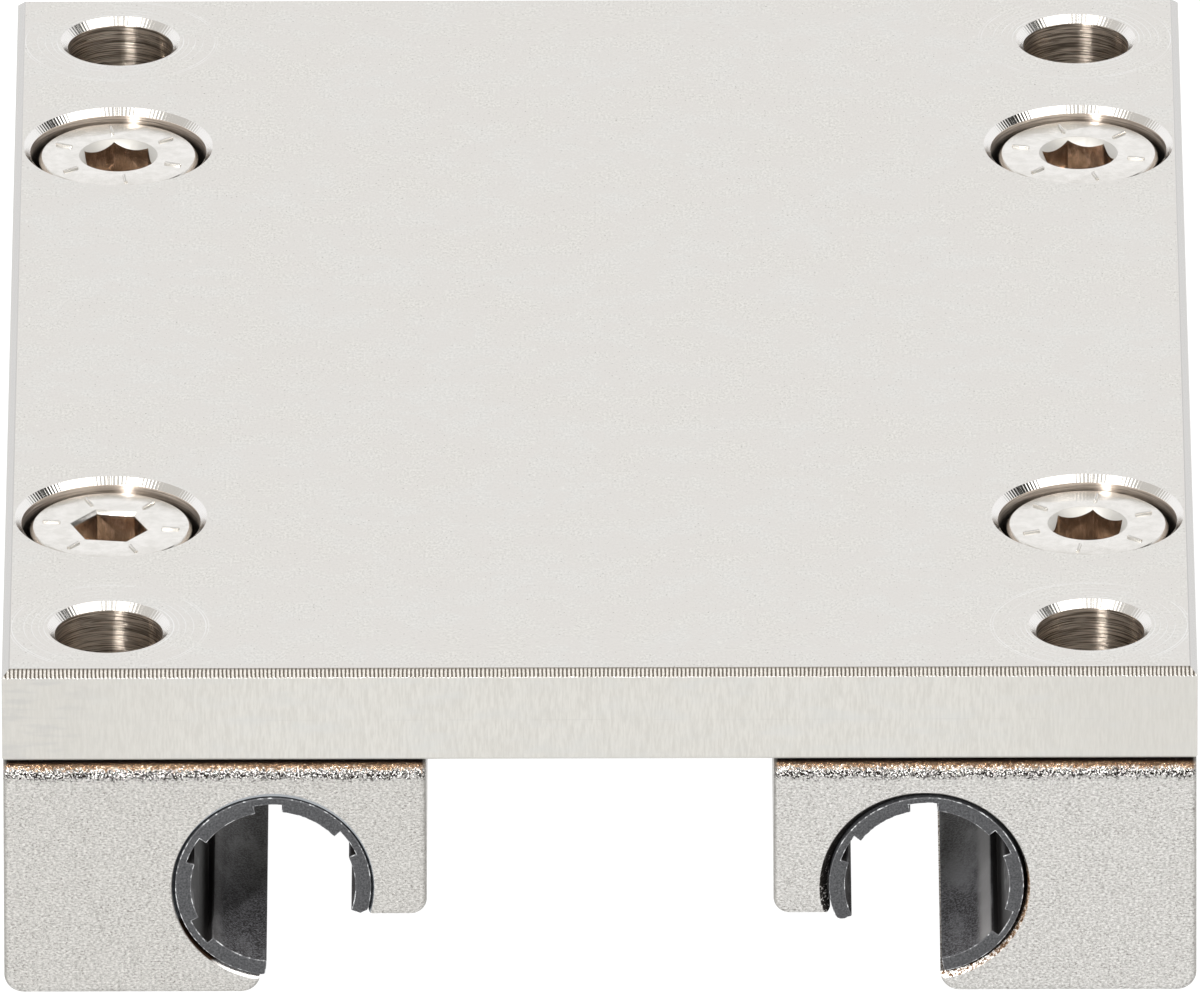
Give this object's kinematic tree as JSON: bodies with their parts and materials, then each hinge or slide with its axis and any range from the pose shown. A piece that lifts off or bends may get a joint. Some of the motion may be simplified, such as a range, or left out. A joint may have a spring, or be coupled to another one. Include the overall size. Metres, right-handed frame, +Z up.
{
  "type": "linear guide carriage",
  "caption": "Flat carriage plate on plain linear bearings that run on a rail's round shafts, held on its left side and floating on its right.",
  "frame": {"origin": "on the surface that the housings stand on, under the middle of the plate", "axes": "+Z up out of the plate's load face, X across the carriage, Y along the shafts"},
  "size_m": [0.073, 0.1, 0.0222],
  "materials": {
    "milled_plate": "milled, fine matt",
    "cast_housing": "investment cast and bead blasted",
    "plastic_liner": "moulded, matt",
    "screw": "bright, formed"
  },
  "bodies": {
    "carriage": {"top_plate": "milled_plate", "front_left_housing": "cast_housing", "front_right_housing": "cast_housing", "rear_left_housing": "cast_housing", "rear_right_housing": "cast_housing", "front_left_liner": "plastic_liner", "rear_left_liner": "plastic_liner", "front_left_screw": "screw", "front_right_screw": "screw", "rear_left_screw": "screw", "rear_right_screw": "screw"},
    "front_floating_liner": {"front_right_liner": "plastic_liner"},
    "rear_floating_liner": {"rear_right_liner": "plastic_liner"}
  },
  "joints": [
    {"name": "front_liner_float", "type": "slide", "parent": "carriage", "child": "front_floating_liner", "axis": [1, 0, 0], "range_m": [-0.0001, 0.00015]},
    {"name": "rear_liner_float", "type": "slide", "parent": "carriage", "child": "rear_floating_liner", "axis": [1, 0, 0], "range_m": [-0.0001, 0.00015]}
  ]
}
